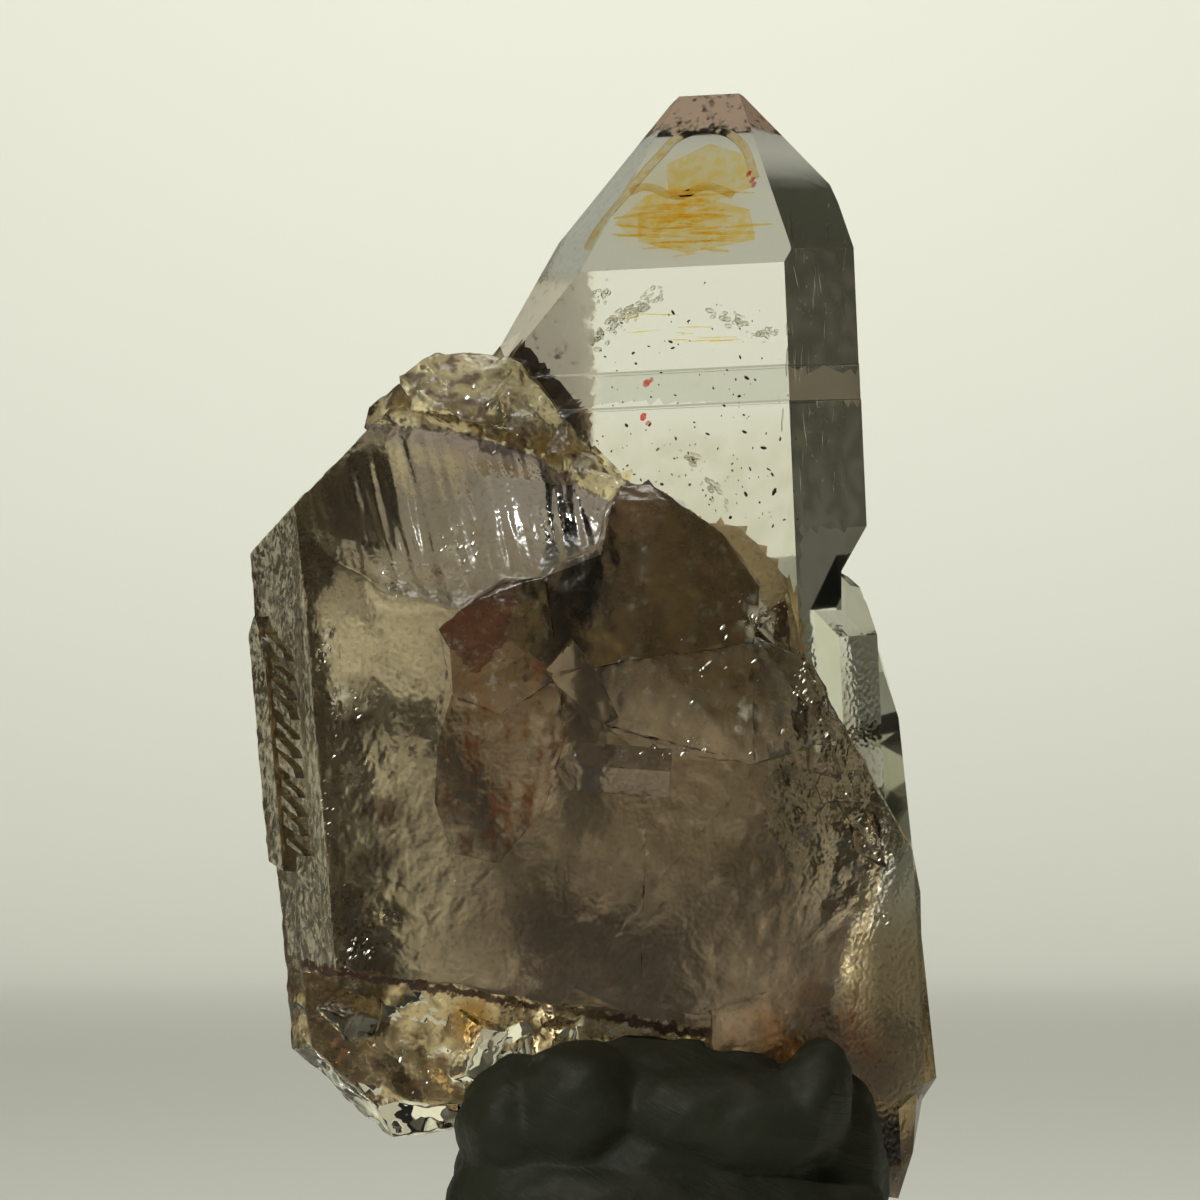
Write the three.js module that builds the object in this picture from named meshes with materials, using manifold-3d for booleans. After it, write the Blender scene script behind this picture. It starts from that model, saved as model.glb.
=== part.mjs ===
// Amethyst cluster standing in a lump of mounting putty.
// Millimetres, +Z up, seen from the front along +Y.
import * as THREE from "three";
import { ConvexGeometry } from "three/addons/geometries/ConvexGeometry.js";
import { mergeVertices } from "three/addons/utils/BufferGeometryUtils.js";
import Module from "manifold-3d";

const wasm = await Module();
wasm.setup();

// Quartz geometry: the angle between a tip face and the long axis, and the turn from face to face
const TIP_ANGLE = THREE.MathUtils.degToRad(38.2);
const FACE_TURN = 60;
const FAR = 90; // further than anything in the cluster reaches

// Driving sizes of the cluster
const CLUSTER_FOOT = 5; // height of the broken base, which the putty hides
const POINT_TOP = 72.4; // height of the tall point's chisel edge
const POINT_LEAN = 2.5; // degrees that the tall point's top leans to the left
const FRONT_LEAN = 5; // the same for the front crystal
const FRONT_DEPTH = 14; // distance of the front crystal's main face before the origin
const LEDGE_HEIGHTS = [55, 52.8]; // tops of the two growth ledges on the tall point
const LEDGE_STEP = 0.11; // how far each ledge stands out from the front side

// Driving sizes of the putty
const PUTTY_TOP = 13.6;
const SOCKET_GAP = 0.35; // clearance between the putty and the cluster pressed into it

// Solids from geometry and back

function solidOf(geometry) {
  const bare = geometry.clone();
  for (const name of Object.keys(bare.attributes)) {
    if (name !== "position") bare.deleteAttribute(name);
  }
  const merged = mergeVertices(bare, 1e-4);
  return new wasm.Manifold(
    new wasm.Mesh({
      numProp: 3,
      vertProperties: new Float32Array(merged.attributes.position.array),
      triVerts: new Uint32Array(merged.index.array),
    }),
  );
}

function geometryOf(solid) {
  const mesh = solid.getMesh();
  const geometry = new THREE.BufferGeometry();
  geometry.setAttribute("position", new THREE.BufferAttribute(mesh.vertProperties, 3));
  geometry.setIndex(outerShell(mesh.triVerts));
  geometry.computeVertexNormals();
  return geometry;
}

// The triangles of the largest connected surface: a small hollow that joined pieces happen to
// close in is left out, so the solid is full there
function outerShell(triangles) {
  const leader = new Map();
  const find = (vertex) => {
    let at = vertex;
    while (leader.has(at)) at = leader.get(at);
    return at;
  };
  const link = (a, b) => {
    const [first, second] = [find(a), find(b)];
    if (first !== second) leader.set(Math.max(first, second), Math.min(first, second));
  };
  const shells = new Map();
  for (let i = 0; i < triangles.length; i += 3) {
    link(triangles[i], triangles[i + 1]);
    link(triangles[i], triangles[i + 2]);
  }
  for (let i = 0; i < triangles.length; i += 3) {
    const shell = find(triangles[i]);
    if (!shells.has(shell)) shells.set(shell, []);
    shells.get(shell).push(triangles[i], triangles[i + 1], triangles[i + 2]);
  }
  return [...shells.values()].sort((a, b) => b.length - a.length)[0];
}

const join = (solids) => solids.reduce((whole, piece) => whole.add(piece));

// A closed solid around points given as [x, y, z]
function hull(points) {
  return solidOf(new ConvexGeometry(points.map((p) => new THREE.Vector3(...p))));
}

// A slab with the outline [x, z, front] and a shared back depth; front is the y of the near face
function shard(outline, back, inset = 0) {
  const middle = new THREE.Vector2();
  outline.forEach(([x, z]) => middle.add(new THREE.Vector2(x, z).divideScalar(outline.length)));
  const near = outline.map(([x, z, front]) => [x, front, z]);
  const far = outline.map(([x, z]) => {
    const rim = new THREE.Vector2(x, z).lerp(middle, inset);
    return [rim.x, back, rim.y];
  });
  return hull([...near, ...far]);
}

// Repeatable numbers from 0 to 1, and smooth noise from -1 to 1

function dice(seed) {
  let state = seed;
  return () => {
    state = (state * 16807) % 2147483647;
    return state / 2147483647;
  };
}

function ripple(p, size) {
  const { x, y, z } = p.clone().divideScalar(size);
  const broad = Math.sin(x * 1.7 + 0.6 * y) * Math.cos(y * 1.3 - 0.7 * z) + Math.sin(z * 1.9 + x);
  const fine = Math.sin(x * 3.9 - z * 2.3 + 1.1) * Math.sin(y * 4.3 + z * 1.7 + 2.3);
  return 0.4 * broad + 0.35 * fine;
}

// Moves every vertex along the line from a centre by a roughness in millimetres
function roughen(geometry, height, size, centre = new THREE.Vector3()) {
  const place = geometry.attributes.position;
  const p = new THREE.Vector3();
  for (let i = 0; i < place.count; i++) {
    p.fromBufferAttribute(place, i);
    const outward = p.clone().sub(centre).normalize();
    p.addScaledVector(outward, height * ripple(p, size));
    place.setXYZ(i, p.x, p.y, p.z);
  }
  return geometry;
}

// Crystals

// The solid inside a set of planes, each with an outward normal
function inside(planes) {
  const corners = [];
  const meet = new THREE.Matrix3();
  planes.forEach((a, i) => {
    planes.slice(i + 1).forEach((b, j) => {
      planes.slice(i + j + 2).forEach((c) => {
        meet.set(...a.normal.toArray(), ...b.normal.toArray(), ...c.normal.toArray());
        if (Math.abs(meet.determinant()) < 1e-6) return;
        const reach = new THREE.Vector3(-a.constant, -b.constant, -c.constant);
        const corner = reach.applyMatrix3(meet.clone().invert());
        if (planes.every((plane) => plane.distanceToPoint(corner) < 1e-5)) corners.push(corner);
      });
    });
  });
  return solidOf(new ConvexGeometry(corners));
}

const planeAt = (normal, point) =>
  new THREE.Plane().setFromNormalAndCoplanarPoint(
    new THREE.Vector3(...normal).normalize(),
    new THREE.Vector3(...point),
  );

// A six-sided crystal. foot is a point on its long axis, lean turns the top towards -X and nod
// towards -Y, turn is the compass angle of the first side's normal, sides are the six distances
// of the sides from the axis, and tops and bottoms are the heights along the axis, from the foot,
// where each tip face would meet it. A plain number in bottoms cuts the crystal off square.
function crystal({ foot, lean = 0, nod = 0, turn, sides, tops, bottoms, cuts = [] }) {
  const stand = new THREE.Matrix4()
    .makeTranslation(...foot)
    .multiply(new THREE.Matrix4().makeRotationX(THREE.MathUtils.degToRad(nod)))
    .multiply(new THREE.Matrix4().makeRotationY(THREE.MathUtils.degToRad(-lean)));
  const planes = [];
  sides.forEach((distance, k) => {
    const angle = THREE.MathUtils.degToRad(turn + k * FACE_TURN);
    const side = new THREE.Vector3(Math.cos(angle), Math.sin(angle), 0);
    planes.push(new THREE.Plane(side, -distance));
    const slope = side.clone().multiplyScalar(Math.cos(TIP_ANGLE));
    const rise = Math.sin(TIP_ANGLE);
    planes.push(new THREE.Plane(slope.clone().setZ(rise), -tops[k] * rise));
    if (Array.isArray(bottoms)) {
      planes.push(new THREE.Plane(slope.clone().setZ(-rise), bottoms[k] * rise));
    }
  });
  if (!Array.isArray(bottoms)) {
    planes.push(new THREE.Plane(new THREE.Vector3(0, 0, -1), bottoms));
  }
  planes.forEach((plane) => plane.applyMatrix4(stand));
  return inside([...planes, ...cuts]);
}

// Sides all at one distance with their tips at one height: a small plain crystal
const plainCrystal = ({ foot, lean, nod, turn, radius, length }) =>
  crystal({
    foot,
    lean,
    nod,
    turn,
    sides: [1, 0.86, 1.08, 0.94, 1.05, 0.9].map((share) => share * radius),
    tops: [1, 1.04, 0.97, 1.06, 1, 1.05].map((share) => share * length),
    bottoms: -0.4 * length,
  });

// The tall clear point, with its chisel top and two growth ledges
function tallPoint() {
  const top = POINT_TOP;
  const foot = [7.4 + top * Math.tan(THREE.MathUtils.degToRad(POINT_LEAN)), 2.2, 0];
  const turn = 197.5;
  const sides = [16, 8.6, 9.6, 6.7, 3, 9];
  const steepFace = planeAt([0.947, 0.12, 0.321], [14.9, -1, 67.5]);
  const body = crystal({
    foot,
    lean: POINT_LEAN,
    turn,
    sides,
    tops: [top + 2.1, top, top + 2.1, top + 2.3, top, top + 2.6],
    bottoms: CLUSTER_FOOT + 2,
    cuts: [steepFace],
  });
  const growth = [0.6, 1, 0.4, 0.15, 0.3, 0.3]; // each side's share of the step
  const ledges = LEDGE_HEIGHTS.map((height, i) => {
    const wider = sides.map((distance, k) => distance + LEDGE_STEP * growth[k] * (i + 1));
    return crystal({
      foot,
      lean: POINT_LEAN,
      turn,
      sides: wider,
      tops: wider.map((distance) => height + distance / Math.tan(TIP_ANGLE)),
      bottoms: CLUSTER_FOOT + 2,
    });
  });
  const brokenCorner = shard(
    [
      [17.6, 45.9, -FAR],
      [15.6, 42.4, -FAR],
      [15.6, -2, -FAR],
      [40, -2, -FAR],
      [40, 45.9, -FAR],
    ],
    FAR,
  );
  return join([body, ...ledges]).subtract(brokenCorner);
}

// Two side crystals that grew parallel to the tall point, lower on its right
function rightCrystals() {
  const upper = crystal({
    foot: [16.1, -1.6, 0],
    lean: 2.6,
    turn: 197.5,
    sides: [4.5, 5, 4.4, 2.5, 5, 5],
    tops: [47, 46.2, 43.9, 43.6, 47, 47],
    bottoms: CLUSTER_FOOT,
  });
  const steepFace = planeAt([0.953, -0.06, 0.3], [18.6, 0, 35.3]);
  const brokenEnd = planeAt([0.62, -0.2, -0.76], [21.5, 0, 10.6]);
  const lower = crystal({
    foot: [17.9, 3.2, 0],
    lean: 6,
    turn: 197.5,
    sides: [6, 6.5, 5.6, 3.7, 3.2, 4.4],
    tops: [46, 45, 43, 46, 45, 46],
    bottoms: CLUSTER_FOOT + 0.5,
    cuts: [steepFace, brokenEnd],
  });
  const spur = hull([
    [15.5, -4, 10],
    [20.4, -3.2, 10.5],
    [20.8, 1.5, 9.4],
    [16, 3, 9],
    [20.1, -2.6, 6.1],
    [19.2, -2, 3.2],
    [18.2, -3.2, 3.4],
    [18.4, 0.5, 4],
  ]);
  return [upper, lower, spur];
}

// The broad front crystal, with its lower tip and the raised plate on its left side
function frontCrystal() {
  const foot = [-4.4, -5, 0];
  const sides = [12.9, FRONT_DEPTH + foot[1], 13, 13, 9, 9.45];
  const body = crystal({
    foot,
    lean: FRONT_LEAN,
    turn: 210,
    sides,
    tops: [FAR, FAR, FAR, FAR, FAR, FAR],
    bottoms: [-2.4, 3, -8, -8, -1, 2],
    cuts: [
      planeAt([-0.72, 0, 0.69], [-17, 0, 47.8]),
      planeAt([0.31, 0, 0.95], [-12.2, 0, 52.6]),
      planeAt([0.1, 0, -1], [-10.6, 0, 7.5]),
      planeAt([0.79, 0.1, -0.61], [-8.9, -6, 7.8]),
    ],
  });
  return join([body, ...sidePlates()]);
}

// A raised growth plate on the front crystal's left side, with a ladder of slanting steps
function sidePlates() {
  const along = new THREE.Vector3(-0.5, 0.866, 0); // across the side, away from the viewer
  const out = new THREE.Vector3(-0.866, -0.5, 0);
  const up = new THREE.Vector3(-Math.sin(THREE.MathUtils.degToRad(FRONT_LEAN)), 0, 1);
  const corner = new THREE.Vector3(-16.9, -FRONT_DEPTH, 28); // on the upright front edge
  const onSide = (across, height, raise) =>
    corner.clone().addScaledVector(along, across).addScaledVector(up, height).addScaledVector(out, raise);
  const plate = (outline, raise) =>
    hull([
      ...outline.map(([across, height]) => onSide(across, height, -1).toArray()),
      ...outline.map(([across, height]) => onSide(across, height, raise).toArray()),
    ]);
  const rungs = 11;
  const ladder = Array.from({ length: rungs }, (_, i) => {
    const height = -3.2 + (i * 13.2) / rungs;
    const width = 0.45 + 0.25 * ((i * 5) % 3);
    return plate(
      [
        [1.7, height],
        [4, height + 0.8],
        [4, height + 0.8 + width],
        [2, height + width * 0.7],
      ],
      0.3 + 0.08 * (i % 3),
    );
  });
  const outer = plate(
    [
      [3.7, -4.2],
      [5.5, -3.6],
      [5.5, 10.6],
      [4.5, 11.6],
      [3.7, 9.8],
    ],
    0.75,
  );
  return [outer, ...ladder];
}

// The broken mass on the right of the front, down to the base
function rightMass() {
  return hull([
    [1.9, -8, 47.2],
    [3.6, -8, 47.4],
    [8.1, -9, 44.5],
    [10.4, -9, 41.4],
    [13.1, -9.5, 37.5],
    [15.9, -9, 31.9],
    [17.4, -8.5, 27.8],
    [20.0, -6.5, 25],
    [20.5, -5.5, 22.4],
    [20, -5, 17],
    [20.8, -3.5, 10.5],
    [0, -13.6, 40],
    [6, -14.2, 36],
    [10, -13.8, 30],
    [12, -12.8, 24],
    [11, -12.4, 16.5],
    [3.4, -14.4, 27],
    [3, -13.4, 15],
    [-4, -13.8, 18],
    [-6, -13.8, 35],
    [2, 3, 44],
    [10, 4, 39],
    [18, 3, 25],
    [19.5, 3, CLUSTER_FOOT + 1],
    [-5, 3, 42],
    [-4, 3, CLUSTER_FOOT + 3],
    [14, -8, CLUSTER_FOOT + 1],
    [-3, -9, CLUSTER_FOOT + 4],
  ]);
}

// The dark shards that stand before the front face, with the flat-sided gap between them
function frontShards() {
  const wing = shard(
    [
      [-9.4, 38.8, -14.7],
      [-7.6, 40.3, -15.3],
      [-5.4, 41.8, -15.4],
      [-4.4, 41.6, -15.9],
      [-2.9, 42, -16.2],
      [-1.9, 35.9, -16.5],
      [-5.5, 33.6, -15],
      [-8.5, 34.6, -14.6],
      [-8.7, 37.6, -14.8],
    ],
    -11,
  );
  const horn = shard(
    [
      [-2.9, 42, -15.8],
      [0.6, 43.4, -15.6],
      [1.3, 46.6, -14.8],
      [1.9, 47.6, -14],
      [3.6, 47.8, -13.8],
      [4.8, 46.7, -14.8],
      [8.1, 44.7, -14.6],
      [10.4, 41.4, -14],
      [10.1, 38, -15.2],
      [3, 37, -17.2],
      [-2.4, 36, -16.4],
    ],
    -7.5,
    0.1,
  );
  const notchedHorn = horn.subtract(
    shard(
      [
        [-3.4, 42.4, -FAR],
        [0.35, 43.7, -FAR],
        [1.1, 47, -FAR],
        [1, 50, -FAR],
        [-4, 50, -FAR],
      ],
      FAR,
    ),
  );
  const body = shard(
    [
      [-2.5, 35.7, -16.3],
      [3, 37.6, -17],
      [10.1, 38.4, -15.1],
      [13, 37, -12.8],
      [15, 32, -12],
      [10, 30.5, -14.4],
      [2.6, 31.6, -14.6],
      [0.6, 33, -15.4],
    ],
    -9,
  );
  const stainedPlate = shard(
    [
      [-8.7, 37.8, -14.5],
      [-8.5, 35, -14.6],
      [-9.4, 31.9, -14.5],
      [-9.6, 28.1, -14.5],
      [-8.5, 25, -14.4],
      [-5.7, 24.4, -14.4],
      [-3, 27.5, -14.4],
      [-1.6, 32, -14.9],
      [-2.1, 36.3, -15],
    ],
    -12,
  );
  const gap = shard(
    [
      [-2.8, 36.3, -14.7],
      [-1.1, 38.2, -14.5],
      [0.5, 36, -14.5],
      [1.7, 33.4, -14.5],
      [-0.2, 32.3, -14.5],
    ],
    -FAR,
  );
  const flatCrystal = crystal({
    foot: [1.9, -13.6, 30.1],
    lean: 86,
    nod: 3,
    turn: 240,
    sides: [1.5, 1.75, 1.6, 1.5, 1.5, 1.4],
    tops: [4.6, 5.2, 4.4, 5, 5, 5],
    bottoms: -3,
  });
  return join([wing, notchedHorn, body, stainedPlate]).subtract(gap).add(flatCrystal);
}

// The pale crust along the seam between the front crystal and the tall point
function seamCrust() {
  const cap = shard(
    [
      [-11.8, 53, -8.6],
      [-11.9, 54.5, -8.4],
      [-10.4, 55, -8],
      [-9.6, 55.9, -7.2],
      [-6.9, 55.9, -7],
      [-4.4, 55.3, -7.4],
      [-2.9, 53.4, -8],
      [-1, 50.6, -9],
      [-3.6, 50.6, -10.2],
      [-8, 51.8, -10.4],
    ],
    -1,
    0.08,
  );
  const tanShard = shard(
    [
      [6.4, 45.4, -11],
      [9, 45.2, -10.6],
      [10.2, 44.1, -10.6],
      [11.6, 42.5, -10.4],
      [12.2, 41.2, -10.4],
      [13.2, 36.8, -10.6],
      [9.6, 36.4, -12],
      [7, 42, -12],
    ],
    -6,
  );
  const roll = dice(71);
  const seam = new THREE.CatmullRomCurve3(
    [
      [-12.4, -8.4, 52.4],
      [-9, -8.2, 52.4],
      [-4.6, -9, 50.9],
      [-1.2, -9.4, 49.4],
      [1.4, -9.6, 47.6],
      [3.4, -8, 46.6],
    ].map((p) => new THREE.Vector3(...p)),
  );
  const grains = seam.getSpacedPoints(11).map((at) =>
    plainCrystal({
      foot: [at.x, at.y + 0.6 * roll(), at.z - 0.6],
      lean: 70 * (roll() - 0.5),
      nod: 40 * roll(),
      turn: 60 * roll(),
      radius: 0.9 + 0.5 * roll(),
      length: 1.9 + 0.9 * roll(),
    }),
  );
  return [cap, tanShard, ...grains];
}

// The hollow of a shell-like break on the front crystal's top, with waves around its start
function scoop() {
  const shell = new THREE.SphereGeometry(1, 44, 30);
  const place = shell.attributes.position;
  const p = new THREE.Vector3();
  for (let i = 0; i < place.count; i++) {
    p.fromBufferAttribute(place, i).normalize();
    const around = Math.acos(THREE.MathUtils.clamp(p.y, -1, 1));
    p.multiplyScalar(1 + 0.008 * Math.sin(around * 24) * (1 - p.y * p.y));
    place.setXYZ(i, p.x, p.y, p.z);
  }
  shell.rotateZ(Math.PI / 2);
  shell.scale(17.5, 14.8, 14.6);
  shell.rotateY(THREE.MathUtils.degToRad(9));
  shell.translate(-7.4, -24.2, 50.6);
  return solidOf(shell);
}

// What broke away below the front crystal's lower edge
function lowerBreak() {
  const size = { wide: 60, deep: 30, high: 34 };
  const block = new THREE.BoxGeometry(size.wide, size.deep, size.high, 30, 10, 16);
  block.translate(6, 0, 0);
  roughen(block, 0.75, 2.6, new THREE.Vector3(0, 60, -40));
  block.rotateY(THREE.MathUtils.degToRad(6.6));
  block.translate(0, -10.4 - size.deep / 2, 15.6 - size.high / 2);
  const keepRight = shard(
    [
      [9, 60, -FAR],
      [7.4, 13.4, -FAR],
      [13, 8, -FAR],
      [13, -20, -FAR],
      [60, -20, -FAR],
      [60, 60, -FAR],
    ],
    FAR,
  );
  return solidOf(block).subtract(keepRight);
}

// Angular flakes along the broken right edge, sunk almost flush
function edgeFlakes() {
  const roll = dice(29);
  const spread = () => 2 * roll() - 1;
  const edge = new THREE.CatmullRomCurve3(
    [
      [9.8, -13.2, 40.2],
      [12.2, -12.2, 36.6],
      [14, -11.2, 32.4],
      [15.6, -10.2, 28.6],
      [17, -9.2, 26],
    ].map((p) => new THREE.Vector3(...p)),
  );
  const outward = new THREE.Vector3(0.62, -0.72, 0.3).normalize();
  return edge.getSpacedPoints(8).map((at) => {
    const points = Array.from({ length: 9 }, () => {
      const p = new THREE.Vector3(1.7 * spread(), 1.7 * spread(), 2.3 * spread());
      p.addScaledVector(outward, -0.7 * p.dot(outward));
      return p.add(at).toArray();
    });
    return hull([...points, at.clone().addScaledVector(outward, -3).toArray()]);
  });
}

// Small crystals in the hollow under the front crystal and around the back of the base
function smallCrystals() {
  const under = [
    { foot: [-7.2, -9.6, 13.4], lean: 160, nod: 20, turn: 10, radius: 1.9, length: 4.2 },
    { foot: [-4.6, -10, 14.4], lean: 120, nod: 35, turn: 40, radius: 1.1, length: 2.6 },
    { foot: [-2.2, -10.2, 13.2], lean: -30, nod: 50, turn: 20, radius: 1.2, length: 2.4 },
    { foot: [-14.6, -9.8, 14.8], lean: 60, nod: 60, turn: 0, radius: 1.5, length: 2.6 },
  ];
  const behind = [
    { foot: [-9, 2, 24], lean: 24, nod: -34, turn: 12, radius: 4.6, length: 15 },
    { foot: [-13, 0, 36], lean: 38, nod: -26, turn: 35, radius: 3.2, length: 9.5 },
    { foot: [1, 5.5, 17], lean: 6, nod: -38, turn: 50, radius: 5, length: 15 },
    { foot: [11, 6.4, 24], lean: -18, nod: -30, turn: 22, radius: 3.6, length: 11 },
    { foot: [9, 7.6, 11], lean: -40, nod: -62, turn: 5, radius: 3.4, length: 8.5 },
    { foot: [-7, 3, 12], lean: 55, nod: -48, turn: 28, radius: 3.6, length: 10 },
  ];
  return [...under, ...behind].map(plainCrystal);
}

function cluster() {
  const grown = join([tallPoint(), ...rightCrystals(), frontCrystal(), rightMass()]);
  const broken = grown.subtract(scoop()).subtract(lowerBreak());
  return join([broken, frontShards(), ...seamCrust(), ...edgeFlakes(), ...smallCrystals()]);
}

// The putty: soft lumps pressed together around the cluster's base

function puttyLump({ at, size, tilt = 0, detail = 4 }) {
  const lump = new THREE.IcosahedronGeometry(1, detail);
  lump.scale(...size);
  lump.rotateY(THREE.MathUtils.degToRad(tilt));
  lump.translate(...at);
  roughen(lump, 0.5, 3.1, new THREE.Vector3(...at));
  return solidOf(lump);
}

function putty(socket) {
  const lumps = [
    { at: [4.4, -2.4, 4.2], size: [13, 15, 9.2], detail: 5 },
    { at: [4.6, -10.4, 2.8], size: [13.9, 8, 4.8], tilt: 3, detail: 5 },
    { at: [3.9, -9.6, PUTTY_TOP - 5.2], size: [11.8, 6.4, 5], tilt: 1 },
    { at: [-4.4, -10.6, PUTTY_TOP - 5.4], size: [3.9, 5.2, 4.5], tilt: -20 },
    { at: [-0.8, -12.4, PUTTY_TOP - 4.7], size: [4.6, 5, 4.4], tilt: 14 },
    { at: [8, -12.6, PUTTY_TOP - 5.4], size: [7.4, 5.2, 4.2], tilt: 2 },
    { at: [5.4, -10.6, PUTTY_TOP - 2.6], size: [7.6, 4, 2.7], tilt: 2 },
    { at: [13.4, -11.2, PUTTY_TOP - 4.4], size: [2.7, 4.8, 4.4], tilt: 16 },
    { at: [15, -6, 5.6], size: [3.5, 7, 6.4] },
    { at: [0.4, 7.4, 4.4], size: [7.4, 6, 5.6] },
    { at: [10.4, 6.4, 4.2], size: [7.6, 6.4, 5.2] },
  ].map(puttyLump);
  const ground = solidOf(new THREE.BoxGeometry(FAR, FAR, FAR).translate(0, 0, -FAR / 2));
  return join(lumps).subtract(ground).subtract(socket);
}

// The room that the cluster's base takes in the putty, with clearance all round
function socketOf(solid) {
  const steps = [-SOCKET_GAP, SOCKET_GAP];
  const moved = steps.flatMap((x) =>
    steps.flatMap((y) => steps.map((z) => solid.translate([x, y, z]))),
  );
  return join(moved);
}

// The assembly

const quartz = new THREE.MeshStandardMaterial({
  color: 0xb9ad9f,
  roughness: 0.08,
  metalness: 0,
  flatShading: true,
});
const clay = new THREE.MeshStandardMaterial({ color: 0x555a4a, roughness: 0.75, metalness: 0 });

function named(name, solid, material) {
  const mesh = new THREE.Mesh(geometryOf(solid), material);
  mesh.name = name;
  return mesh;
}

const clusterSolid = cluster();
const assembly = new THREE.Group();
assembly.add(named("amethyst_cluster", clusterSolid, quartz));
assembly.add(named("putty_stand", putty(socketOf(clusterSolid)), clay));

// The origin goes to the middle of the bounding box, on the surface that the putty stands on
const bounds = new THREE.Box3().setFromObject(assembly);
const middle = bounds.getCenter(new THREE.Vector3());
assembly.position.set(-middle.x, -middle.y, -bounds.min.z);

export default assembly;
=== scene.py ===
"""Looks for an amethyst cluster that stands in a lump of mounting putty."""

import math
import random

import bpy
import numpy as np
from bpy.props import FloatProperty, FloatVectorProperty, IntProperty, PointerProperty
from mathutils import Matrix, Vector, noise


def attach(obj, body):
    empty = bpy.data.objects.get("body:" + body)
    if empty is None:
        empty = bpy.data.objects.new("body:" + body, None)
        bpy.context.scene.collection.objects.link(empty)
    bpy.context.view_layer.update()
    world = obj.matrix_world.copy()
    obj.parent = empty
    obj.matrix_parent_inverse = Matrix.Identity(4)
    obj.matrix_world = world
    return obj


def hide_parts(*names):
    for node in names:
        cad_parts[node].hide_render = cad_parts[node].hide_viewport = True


bl_info = {
    "name": "Amethyst cluster",
    "version": (1, 0, 0),
    "blender": (4, 5, 0),
    "location": "View3D > Sidebar > Crystal",
    "description": "Dresses a quartz cluster and its putty stand",
    "category": "Object",
}

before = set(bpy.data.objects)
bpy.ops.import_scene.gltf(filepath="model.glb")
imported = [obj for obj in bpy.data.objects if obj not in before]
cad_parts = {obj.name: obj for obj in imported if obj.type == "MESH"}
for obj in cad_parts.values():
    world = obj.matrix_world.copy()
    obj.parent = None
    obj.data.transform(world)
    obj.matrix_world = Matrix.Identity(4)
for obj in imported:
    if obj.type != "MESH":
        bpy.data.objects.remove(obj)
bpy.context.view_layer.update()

MM = 0.001
# The crystals were drawn about their own axes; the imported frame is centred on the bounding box.
DRAWN_ORIGIN = Vector((-0.21, 1.54, 0.0))


def spot(x, y, z):
    """A point of the crystal drawing, in millimetres, as a place in the frame, in metres."""
    return (Vector((x, y, z)) + DRAWN_ORIGIN) * MM


# Outlines on the front of the cluster, as x and z in millimetres of the crystal drawing

SHARDS = (
    (-9.4, 38.8), (-7.6, 40.3), (-5.4, 41.8), (-2.9, 42.0), (0.6, 43.4), (1.3, 46.6), (1.9, 47.6),
    (3.6, 47.8),
    (8.1, 44.7), (10.4, 41.4), (13.1, 37.5), (15.9, 31.9), (10.0, 30.4), (2.6, 31.4), (-1.6, 32.0),
    (-5.5, 33.4), (-8.5, 34.6), (-8.7, 37.6),
)
WING = ((-9.4, 38.8), (-7.6, 40.3), (-5.4, 41.8), (-4.6, 41.4), (-5.3, 38.0), (-7.0, 36.0), (-8.7, 37.6))
STAINED = (
    (-8.7, 37.8), (-8.5, 35.0), (-9.4, 31.9), (-9.6, 28.1), (-8.5, 25.0), (-5.7, 24.4), (-3.0, 27.5),
    (-1.6, 32.0), (-2.1, 36.3), (-5.0, 38.0),
)
WINDOW = ((-2.7, 36.4), (-1.1, 38.1), (0.4, 36.1), (1.6, 33.6), (-0.1, 32.5))
FLAT_CRYSTAL = ((-2.0, 30.0), (-0.6, 32.2), (5.4, 31.6), (5.4, 28.0), (-0.6, 28.2))
CRUST = (
    (-14.0, 51.6), (-11.9, 54.6), (-9.6, 56.2), (-6.9, 56.2), (-4.2, 55.6), (-2.7, 53.6),
    (-0.8, 50.9), (0.8, 49.6),
    (2.6, 48.2), (1.4, 46.6), (-0.6, 47.6), (-3.6, 49.6), (-8.0, 51.0),
)
TAN_CRUST = (
    (6.4, 45.6), (9.2, 45.4), (10.6, 44.2), (12.6, 41.3), (13.6, 36.8), (11.4, 38.4), (10.5, 41.5),
    (8.2, 44.8),
)
BREAK_LEFT, BREAK_RIGHT = (-17.6, 18.0), (6.2, 13.9)  # ends of the lower edge where the base broke away


# Settings


class QuartzLook(bpy.types.PropertyGroup):
    """Colours and clarity of the quartz."""

    ior: FloatProperty(name="IOR", description="Refraction of quartz", default=1.544, min=1.0, max=2.0)
    absorption: FloatProperty(
        name="Absorption", description="Absorption per metre inside the quartz", default=14.0, min=0
    )
    clear: FloatVectorProperty(
        name="Clear",
        description="Colour that the clear points give to light at each face",
        subtype="COLOR",
        default=(0.965, 0.968, 0.925),
        min=0,
        max=1,
    )
    lilac: FloatVectorProperty(
        name="Lilac",
        description="Amethyst colour at the tip and along the shell-like break",
        subtype="COLOR",
        default=(0.5, 0.4, 0.5),
        min=0,
        max=1,
    )
    smoky: FloatVectorProperty(
        name="Smoky",
        description="Colour of the hazy front crystal",
        subtype="COLOR",
        default=(0.092, 0.05, 0.023),
        min=0,
        max=1,
    )
    dark: FloatVectorProperty(
        name="Dark",
        description="Colour of the dark shards on the front",
        subtype="COLOR",
        default=(0.0115, 0.005, 0.0011),
        min=0,
        max=1,
    )
    rust: FloatVectorProperty(
        name="Rust",
        description="Iron stain",
        subtype="COLOR",
        default=(0.26, 0.085, 0.024),
        min=0,
        max=1,
    )
    crust: FloatVectorProperty(
        name="Crust",
        description="Pale crust along the seam",
        subtype="COLOR",
        default=(0.56, 0.46, 0.28),
        min=0,
        max=1,
    )


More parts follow.
